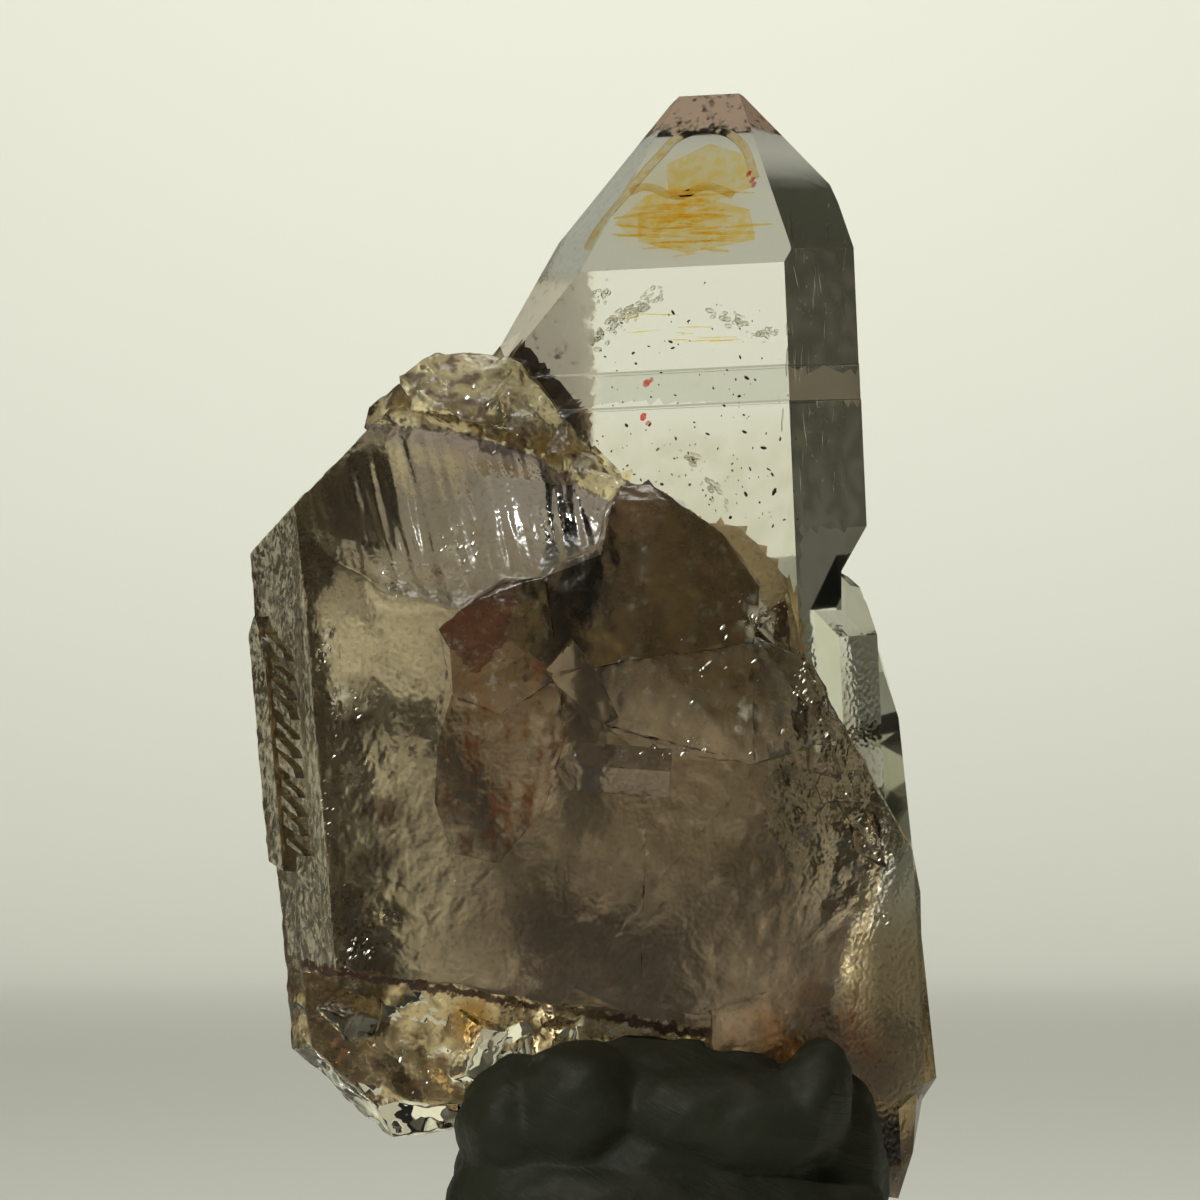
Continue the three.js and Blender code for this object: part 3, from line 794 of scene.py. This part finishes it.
class QUARTZ_OT_cluster(bpy.types.Operator):
    """Makes the clear and smoky quartz from the CAD solid, with broken relief on its front"""

    bl_idname = "amethyst.cluster"
    bl_label = "Quartz cluster"

    def execute(self, context):
        look = settings().quartz
        piece = cad_copy("amethyst_cluster", "quartz_cluster")
        refine(piece, lambda places: places[:, 2] > -1, PLAIN_EDGE)
        refine(piece, clear_part, CLEAR_EDGE)
        refine(piece, broken_front, FRONT_EDGE)
        refine(piece, silky_hollow, HOLLOW_EDGE)
        places = drawn(points_of(piece))
        x, y, z = places.T
        front = broken_front(places).astype(float)
        hollow = round_spot(places, *HOLLOW) * front
        shards = within(SHARDS, places) * front
        slope = round_spot(places, (15, -10, 30), 10, (0.8, 1, 1.3)) * front
        crust = within(CRUST, places) * front
        under = (z < break_height(x)) * front
        flat = front * (1 - hollow) * (1 - 0.75 * (z > 17) * (x < 6))
        chips = np.maximum.reduce([0.3 * shards, slope, 0.6 * under, 1.0 * crust])
        lumps = group_of(piece, "lumps", flat)
        relief(piece, "broken lumps", "CLOUDS", 2.4 * MM, 0.3 * MM, lumps, noise_depth=3)
        pits = group_of(piece, "pits", front * (1 - hollow))
        relief(piece, "pits", "CLOUDS", 0.8 * MM, 0.22 * MM, pits, noise_depth=2)
        relief(piece, "chips", "VORONOI", 1.9 * MM, 0.5 * MM, group_of(piece, "chips", chips))
        silky = group_of(piece, "silky", hollow)
        modify(piece, "SMOOTH", factor=0.5, iterations=12, vertex_group=silky)
        ribs = fibre_axes("rib axes", (0.9, 4.0, 9.0), (0.0, math.radians(-14), 0.0))
        relief(piece, "ribs", "CLOUDS", 1.0, 0.7 * MM, silky, ribs, noise_depth=1)
        only(piece)
        bpy.ops.object.shade_smooth_by_angle(angle=math.radians(22))
        piece.data.polygons.foreach_set("use_smooth", broken_front(face_middles(piece)))
        skin = Skin(piece)
        for step in (paint_clear_points, paint_front_crystal, paint_shards, paint_glints, paint_crust):
            step(skin, look)
        skin.save()
        piece.data.materials.append(quartz_material(look))
        settle(piece, "amethyst_cluster")
        return {"FINISHED"}


SPARKLES = (
    (10.6, 39.4, 0.9, 0.6, 46), (13.1, 35.6, 0.5, 1.0, 24), (14.9, 31.9, 0.6, 1.2, 26),
    (16.2, 28.1, 0.6, 1.2, 30),
    (18.1, 25.0, 0.6, 0.9, 34), (17.4, 20.9, 0.5, 0.5, 20), (-8.2, 44.1, 0.7, 0.9, 22),
    (-12.3, 42.2, 0.6, 0.8, 16),
    (-4.4, 45.6, 0.9, 0.8, 12), (-16.3, 37.5, 0.4, 0.8, 22), (-15.4, 34.4, 0.5, 0.9, 20),
    (-16.4, 27.0, 0.4, 1.6, 22),
    (-14.6, 19.1, 0.5, 0.6, 26), (6.2, 31.6, 1.4, 0.3, 22), (-11.9, 12.5, 1.6, 1.0, 24),
    (-4.4, 15.2, 1.6, 0.5, 20),
    (-6.9, 52.4, 2.0, 1.2, 24), (8.0, 36.8, 2.4, 1.8, 16), (-12.0, 24.0, 2.0, 3.0, 12),
)  # x, z, spread in each and number of chips of a sparkling patch
MIRRORS_LIGHT = Vector((-0.25, -0.89, 0.39))  # normal of a chip that mirrors the front light to the camera


def chip_material():
    g = Graph("chip")
    tint = g.mix(g.noise(g.place(), 0.5, 1.0), (0.95, 0.92, 0.82), (0.66, 0.58, 0.44))
    values = {"Base Color": tint, "Roughness": 0.3, "Metallic": 1.0}
    return g.finish(g.node("ShaderNodeBsdfPrincipled", {}, values))


class QUARTZ_OT_sparkles(bpy.types.Operator):
    """Puts small bright chips on the freshly broken patches of the front"""

    bl_idname = "amethyst.sparkles"
    bl_label = "Sparkling chips"

    def execute(self, context):
        roll = random.Random(41)
        quartz = bpy.data.objects["quartz_cluster"]
        chips = []
        for x, z, wide, high, count in SPARKLES:
            for _ in range(count):
                start = spot(roll.gauss(x, wide), -40, roll.gauss(z, high))
                jitter = Vector([roll.gauss(0, 0.07) for axis in "xyz"])
                lean = roll.gauss(0.6, 0.5)
                long = abs(roll.gauss(0.05, 0.1)) + 0.03
                thin = roll.uniform(0.25, 0.6)
                hit, place, normal, face = quartz.ray_cast(start, (0, 1, 0))
                if not hit:
                    continue
                side = (MIRRORS_LIGHT + jitter).normalized()
                along = side.cross(Vector((lean, 0, 1))).normalized()
                axes = Matrix((along, side, along.cross(side))).transposed()
                chips.append((Vector(drawn(np.array(place))), axes, (thin * long, 0.03, long)))
        strew("bright_chips", chip_material(), chips)
        return {"FINISHED"}


# What lies inside the clear point


class Side:
    """A flat side of the cluster, found by its outward normal, that inclusions lie behind."""

    def __init__(self, normal, height):
        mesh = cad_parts["amethyst_cluster"].data
        wanted = Vector(normal).normalized()
        faces = [f for f in mesh.polygons if f.normal.dot(wanted) > 0.995 and f.center.z > height * MM]
        best = max(faces, key=lambda f: f.area)
        self.normal = best.normal.copy()
        self.point = Vector(drawn(np.array(best.center)))

    def behind(self, x, z, depth):
        """The point under the side that is seen at x and z from the front, in drawing millimetres."""
        n = self.normal
        y = self.point.y - (n.x * (x - self.point.x) + n.z * (z - self.point.z)) / n.y
        return Vector((x, y, z)) - n * depth

    def axes(self, slope):
        """Turns a flake's x along the side at that slope and its y into it."""
        along = self.normal.cross(Vector((0, 0, 1))).normalized()
        if along.x < 0:
            along = -along
        up = along.cross(self.normal)
        if up.z < 0:
            up = -up
        lying = along * math.cos(slope) + up * math.sin(slope)
        return Matrix((lying, self.normal, lying.cross(self.normal))).transposed()


def flake(name):
    """One irregular flake, a unit across, that the inclusions are copied from."""
    for other in bpy.context.selected_objects:
        other.select_set(False)
    bpy.ops.mesh.primitive_ico_sphere_add(subdivisions=1, radius=1)
    seed = bpy.context.active_object
    seed.name = name
    edit(seed, "VERT")
    bpy.ops.mesh.select_all(action="SELECT")
    bpy.ops.transform.vertex_random(offset=0.22, seed=7)
    bpy.ops.mesh.normals_make_consistent(inside=False)
    done()
    return seed


def strew(name, material, copies):
    """One joined mesh of a flake's copies, each with a place, axes and half sizes in millimetres."""
    seed = flake(name + " seed")
    shape = points_of(seed)
    faces = np.array([list(f.vertices) for f in seed.data.polygons])
    places, corners = [], []
    for i, (place, axes, size) in enumerate(copies):
        turned = (shape * np.array(size)) @ np.array(axes).T
        places.append((turned + np.array(place) + np.array(DRAWN_ORIGIN)) * MM)
        corners.append(faces + i * len(shape))
    mesh = bpy.data.meshes.new(name)
    mesh.from_pydata(np.concatenate(places).tolist(), [], np.concatenate(corners).tolist())
    piece = bpy.data.objects.new(name, mesh)
    bpy.context.scene.collection.objects.link(piece)
    bpy.data.objects.remove(seed)
    piece.data.materials.append(material)
    settle(piece)
    return piece


def ribbon(name, material, paths, radius):
    """Smooth round threads along paths of points in drawing millimetres, as one mesh."""
    curve = bpy.data.curves.new(name, "CURVE")
    curve.dimensions = "3D"
    curve.bevel_depth = radius * MM
    curve.bevel_resolution = 2
    curve.use_fill_caps = True
    for path in paths:
        line = curve.splines.new("BEZIER")
        line.bezier_points.add(len(path) - 1)
        for knot, place in zip(line.bezier_points, path):
            knot.co = (place + DRAWN_ORIGIN) * MM
            knot.handle_left_type = knot.handle_right_type = "AUTO"
    piece = bpy.data.objects.new(name, curve)
    bpy.context.scene.collection.objects.link(piece)
    only(piece)
    bpy.ops.object.convert(target="MESH")
    piece = bpy.context.active_object
    piece.data.materials.append(material)
    bpy.ops.object.shade_smooth()
    settle(piece)
    return piece


def film_material(name, colour):
    """A coloured film inside the quartz: it tints light and bends it little."""
    g = Graph(name)
    p = g.place()
    pale = [1 - 0.45 * (1 - c) for c in colour]
    tint = g.mix(g.ramp(g.noise(p, 0.7, 2.0), 0.35, 0.65), colour, pale)
    values = {"Base Color": tint, "Roughness": 0.1, "IOR": 1.02, "Transmission Weight": 1.0}
    return g.finish(g.node("ShaderNodeBsdfPrincipled", {}, values))


def speck_material(name, colour, rough=0.5):
    g = Graph(name)
    tint = g.mix(g.noise(g.place(), 0.4, 2.0), colour, [0.5 * c for c in colour])
    values = {"Base Color": tint, "Roughness": rough}
    return g.finish(g.node("ShaderNodeBsdfPrincipled", {}, values))


def bubble_material():
    """Thin hollows inside the quartz, which glint against what is behind them."""
    g = Graph("bubble")
    tint = g.mix(g.noise(g.place(), 0.5, 1.0), (1.0, 0.99, 0.95), (0.88, 0.85, 0.76))
    values = {"Base Color": tint, "Roughness": 0.08, "IOR": 1.25, "Transmission Weight": 1.0}
    return g.finish(g.node("ShaderNodeBsdfPrincipled", {}, values))


def along_line(points, share):
    """A point at that share of a line through several points."""
    reach = share * (len(points) - 1)
    i = min(int(reach), len(points) - 2)
    (x0, z0), (x1, z1) = points[i], points[i + 1]
    return x0 + (x1 - x0) * (reach - i), z0 + (z1 - z0) * (reach - i), math.atan2(z1 - z0, x1 - x0)


# Lines and spots inside the tall point, as x and z in millimetres, and each fleck's half length
ARCH = (
    (-0.3, 62.9), (0.6, 64.4), (2.3, 66.4), (4.2, 68.6), (5.6, 69.9), (8.0, 70.2), (9.3, 69.4),
    (10.2, 67.2),
)


RED_FLECKS = ((3.4, 54.1, 0.33), (3.7, 54.3, 0.2), (3.2, 52.0, 0.3), (3.5, 51.6, 0.22), (4.3, 59.8, 0.13))


class INCLUSIONS_OT_threads(bpy.types.Operator):
    """Makes the amber threads and film that fill the tall point's tip"""

    bl_idname = "amethyst.threads"
    bl_label = "Amber threads"

    def execute(self, context):
        look = settings().inclusions
        roll = random.Random(5)
        tip = Side(FRONT_TIP, TIPS_FROM)
        copies = []
        for _ in range(look.threads):
            z = roll.triangular(62.3, 66.9, 64.2)
            x = roll.triangular(1.2, 10.4, 6.6)
            size = (roll.uniform(0.5, 1.9), roll.uniform(0.05, 0.15), roll.uniform(0.05, 0.17))
            copies.append((tip.behind(x, z, roll.uniform(0.3, 1.0)), tip.axes(roll.gauss(0.04, 0.08)), size))
        side = Side(FRONT_SIDE, SIDES_FROM)
        for _ in range(look.threads // 4):
            x, z = roll.triangular(1.0, 10.0, 6.0), roll.uniform(56.4, 58.8)
            place = side.behind(x, z, roll.uniform(0.4, 2.0))
            copies.append((place, side.axes(roll.gauss(0.02, 0.05)), (roll.uniform(0.6, 1.6), 0.05, 0.05)))
        strew("amber_threads", film_material("amber thread", look.amber), copies)
        arch = [tip.behind(x, z, 0.6) for x, z in ARCH]
        ledge = [tip.behind(2.4 + 0.8 * i, 66.3 + 0.3 * math.sin(1.3 * i), 0.5) for i in range(9)]
        ribbon("amber_arch", film_material("amber arch", (0.86, 0.66, 0.28)), (arch, ledge), 0.3)
        honey = [0.15 + 0.85 * c for c in look.amber]
        films = [
            (tip.behind(6.4, 64.4, 1.3), tip.axes(0.0), (4.4, 0.12, 2.3)),
            (tip.behind(7.2, 67.6, 1.2), tip.axes(0.1), (3.1, 0.12, 2.6)),
            (tip.behind(4.0, 65.4, 1.5), tip.axes(0.6), (3.0, 0.12, 1.6)),
        ]
        strew("amber_film", film_material("amber film", honey), films)
        return {"FINISHED"}


class INCLUSIONS_OT_specks(bpy.types.Operator):
    """Makes the red flecks and the dark specks in the clear point"""

    bl_idname = "amethyst.specks"
    bl_label = "Flecks and specks"

    def execute(self, context):
        look = settings().inclusions
        roll = random.Random(17)
        side, tip = Side(FRONT_SIDE, SIDES_FROM), Side(FRONT_TIP, TIPS_FROM)
        reds = []
        for x, z, size in RED_FLECKS:
            reds.append((side.behind(x, z, 0.5), side.axes(roll.uniform(0.4, 1.2)), (size, 0.1, 0.7 * size)))
        for x, z in ((9.8, 67.4), (10.0, 67.0), (10.1, 66.7)):
            reds.append((tip.behind(x, z, 0.5), tip.axes(1.2), (0.3, 0.1, 0.16)))
        strew("red_flecks", film_material("red fleck", look.red), reds)
        darks = []
        for _ in range(look.specks):
            x = roll.uniform(-1.5, 11.8)
            z = roll.triangular(43.5, 61.0, 47.5)
            size = abs(roll.gauss(0.02, 0.03)) + 0.02
            turned = side.axes(roll.uniform(0, 3))
            place = side.behind(x, z, roll.uniform(0.25, 2.5))
            darks.append((place, turned, (size * roll.uniform(1, 2.5), size, size)))
        strew("dark_specks", speck_material("dark speck", (0.12, 0.075, 0.035)), darks)
        return {"FINISHED"}


class INCLUSIONS_OT_veils(bpy.types.Operator):
    """Makes the sparkling veils of bubbles in the clear point and the fibres in its right face"""

    bl_idname = "amethyst.veils"
    bl_label = "Veils and fibres"

    def execute(self, context):
        look = settings().inclusions
        roll = random.Random(29)
        side, right = Side(FRONT_SIDE, SIDES_FROM), Side(RIGHT_SIDE, SIDES_FROM)
        paths = (
            ((4.2, 59.8), (2.2, 58.6), (0.4, 57.2), (-1.4, 55.6), (-2.8, 55.1)),
            ((7.2, 58.6), (9.6, 57.6), (11.6, 57.0)),
            ((5.0, 50.4), (6.6, 48.6), (8.2, 46.2)),
            ((1.0, 60.2), (-1.0, 58.2), (-3.2, 56.0)),
        )
        bubbles = []
        for i in range(look.bubbles):
            path = paths[0] if i % 2 else paths[i // 2 % len(paths)]
            x, z, slope = along_line(path, roll.random())
            x, z = x + roll.gauss(0, 0.3), z + roll.gauss(0, 0.26)
            size = roll.uniform(0.05, 0.2)
            turned = side.axes(slope + roll.gauss(0, 0.4))
            place = side.behind(x, z, roll.uniform(0.4, 3.5))
            bubbles.append((place, turned, (size * 1.7, size * 0.35, size)))
        glint = bubble_material()
        strew("bubble_veils", glint, bubbles)
        fibres = []
        for i in range(look.fibres):
            x = roll.uniform(12.8, 16.2)
            z = roll.triangular(46.0, 67.0, 55.0)
            long = roll.uniform(0.06, 0.16) if i % 3 else roll.uniform(0.4, 1.6)
            turned = right.axes(math.pi / 2 + roll.gauss(0, 0.12))
            thin = roll.uniform(0.03, 0.07)
            fibres.append((right.behind(x, z, roll.uniform(0.2, 1.2)), turned, (long, thin, thin)))
        strew("pale_fibres", glint, fibres)
        return {"FINISHED"}


# The putty


def putty_material(look):
    g = Graph("putty")
    p = g.place()
    broad = g.noise(p, 7.0, 3.0)
    fine = g.noise(p, 0.6, 4.0, 0.65)
    prints = g.noise(g.stretch(p, (4.0, 4.0, 0.4), (0.2, 0.4, 0.0)), 1.0, 2.0, 0.5, 1.2)
    tint = g.mix(g.ramp(broad, 0.3, 0.7), look.colour, [c * 0.72 for c in look.colour])
    tint = g.mix(g.ramp(fine, 0.55, 0.8) * 0.5, tint, [c * 1.5 for c in look.colour])
    height = fine * 0.5 + prints * 0.7
    normal = g.node("ShaderNodeBump", {}, {"Strength": 0.4, "Distance": 0.2 * MM, "Height": height})
    rough = 0.58 + (fine - 0.5) * 0.3
    values = {"Base Color": tint, "Roughness": rough, "Specular IOR Level": 0.3, "Normal": normal}
    return g.finish(g.node("ShaderNodeBsdfPrincipled", {}, values))


class PUTTY_OT_stand(bpy.types.Operator):
    """Makes the pressed putty lump that holds the cluster"""

    bl_idname = "amethyst.putty"
    bl_label = "Putty stand"

    def execute(self, context):
        look = settings().putty
        piece = cad_copy("putty_stand", "putty_lump")
        modify(piece, "REMESH", mode="VOXEL", voxel_size=look.voxel)
        modify(piece, "SMOOTH", factor=0.5, iterations=1)
        relief(piece, "pressed", "CLOUDS", 2.6 * MM, 0.4 * MM, noise_depth=2)
        creases = fibre_axes("crease axes", (6.0, 5.0, 1.5), (0.0, math.radians(8), 0.0))
        relief(piece, "creases", "CLOUDS", 1.0, 0.3 * MM, "", creases, noise_depth=3)
        only(piece)
        bpy.ops.object.shade_smooth()
        piece.data.materials.append(putty_material(look))
        settle(piece, "putty_stand")
        return {"FINISHED"}


# The stage


def stage_material():
    g = Graph("backdrop")
    grain = g.noise(g.place(), 90.0, 2.0)
    tint = g.mix(grain, (0.84, 0.85, 0.77), (0.82, 0.83, 0.75))
    return g.finish(g.node("ShaderNodeBsdfPrincipled", {}, {"Base Color": tint, "Roughness": 0.9}))


def soft_light(name, place, target, size, power, colour=(1, 1, 1), spread=math.pi):
    light = bpy.data.lights.new(name, "AREA")
    light.shape = "RECTANGLE"
    light.size, light.size_y = size
    light.energy = power
    light.color = colour
    light.spread = spread
    holder = bpy.data.objects.new(name, light)
    holder.location = place
    holder.rotation_euler = (Vector(target) - Vector(place)).to_track_quat("-Z", "Y").to_euler()
    bpy.context.scene.collection.objects.link(holder)
    return holder


class STAGE_OT_studio(bpy.types.Operator):
    """Makes the pale round sweep, the soft lights and the camera"""

    bl_idname = "amethyst.stage"
    bl_label = "Stage"

    def execute(self, context):
        stage = settings().stage
        middle, floor, bend, wall = -0.8, 1.4, 0.5, 0.7
        for other in bpy.context.selected_objects:
            other.select_set(False)
        ring = {"vertices": 96, "radius": floor, "fill_type": "TRIFAN", "location": (0, middle, 0)}
        bpy.ops.mesh.primitive_circle_add(**ring)
        sweep = bpy.context.active_object
        sweep.name = "sweep"
        bpy.ops.object.transform_apply(location=True, rotation=True, scale=True)
        edit(sweep, "EDGE")
        bpy.ops.mesh.select_all(action="SELECT")
        bpy.ops.mesh.region_to_loop()
        steps = 20
        turns = [bend * math.sin(math.pi / 2 * i / steps) for i in range(steps + 1)]
        climbs = [bend - bend * math.cos(math.pi / 2 * i / steps) for i in range(steps + 1)]
        profile = list(zip(turns[1:], climbs[1:])) + [(bend, bend + wall)]
        reach, level = 0.0, 0.0
        for out, up in profile:
            bpy.ops.mesh.extrude_region_move(TRANSFORM_OT_translate={"value": (0, 0, up - level)})
            share = (floor + out) / (floor + reach)
            bpy.ops.transform.resize(value=(share, share, 1), center_override=(0, middle, 0))
            reach, level = out, up
        bpy.ops.mesh.select_all(action="SELECT")
        bpy.ops.mesh.normals_make_consistent(inside=True)
        done()
        bpy.ops.object.shade_smooth()
        sweep.data.materials.append(stage_material())

        warm = (1, 1, 0.93)
        wide, narrow, tight = (math.radians(angle) for angle in (75, 62, 36))
        soft_light("back light", (0, 0.92, 0.95), (0, 1.02, 0.14), (0.25, 0.45), stage.back_light, warm, wide)
        soft_light("floor light", (0, 0.2, 0.9), (0, 0.2, 0), (0.25, 0.5), stage.floor_light, warm, narrow)
        aside, ahead = (-0.32, -0.42, 0.5), (0, 0, 0.03)
        soft_light("front light", aside, ahead, (0.05, 0.05), stage.front_light, warm, tight)

        world = bpy.data.worlds.new("room")
        world.use_nodes = True
        ground = world.node_tree.nodes["Background"]
        ground.inputs["Color"].default_value = (1.0, 0.96, 0.84, 1.0)
        ground.inputs["Strength"].default_value = stage.fill
        bpy.context.scene.world = world

        lens = bpy.data.cameras.new("camera")
        lens.lens = stage.lens
        lens.sensor_width = 36
        lens.clip_start, lens.clip_end = 0.01, 20
        camera = bpy.data.objects.new("camera", lens)
        far = stage.frame_width / 2 / math.tan(math.atan(18 / stage.lens))
        camera.location = spot(0.56, -2.0, 40.6) - Vector((0, far, 0))
        camera.rotation_euler = (math.pi / 2, 0, 0)
        bpy.context.scene.collection.objects.link(camera)
        bpy.context.scene.camera = camera
        bpy.context.scene.view_settings.view_transform = "Standard"
        bounces = bpy.context.scene.cycles
        bounces.max_bounces = 11
        bounces.transmission_bounces = 11
        bounces.diffuse_bounces = 1
        bounces.glossy_bounces = 3
        return {"FINISHED"}


# Panel and registration


class VIEW3D_PT_amethyst(bpy.types.Panel):
    """Lists the cluster's operators"""

    bl_label = "Amethyst cluster"
    bl_space_type = "VIEW_3D"
    bl_region_type = "UI"
    bl_category = "Crystal"

    def draw(self, context):
        for step in OPERATORS:
            self.layout.operator(step.bl_idname)
        for group in ("quartz", "inclusions", "putty", "stage"):
            box = self.layout.box()
            values = getattr(context.scene.amethyst_cluster, group)
            for name in values.__annotations__:
                box.prop(values, name)


OPERATORS = (
    STAGE_OT_studio,
    QUARTZ_OT_cluster,
    QUARTZ_OT_sparkles,
    INCLUSIONS_OT_threads,
    INCLUSIONS_OT_specks,
    INCLUSIONS_OT_veils,
    PUTTY_OT_stand,
)
LOOKS = (QuartzLook, InclusionLook, PuttyLook, StageSetup, ClusterSettings)
CLASSES = (*LOOKS, *OPERATORS, VIEW3D_PT_amethyst)


def register():
    for made in CLASSES:
        bpy.utils.register_class(made)
    bpy.types.Scene.amethyst_cluster = PointerProperty(type=ClusterSettings)


def unregister():
    del bpy.types.Scene.amethyst_cluster
    for made in reversed(CLASSES):
        bpy.utils.unregister_class(made)


def main():
    register()
    bpy.ops.amethyst.stage()
    bpy.ops.amethyst.cluster()
    bpy.ops.amethyst.sparkles()
    bpy.ops.amethyst.threads()
    bpy.ops.amethyst.specks()
    bpy.ops.amethyst.veils()
    bpy.ops.amethyst.putty()


if __name__ == "__main__":
    main()
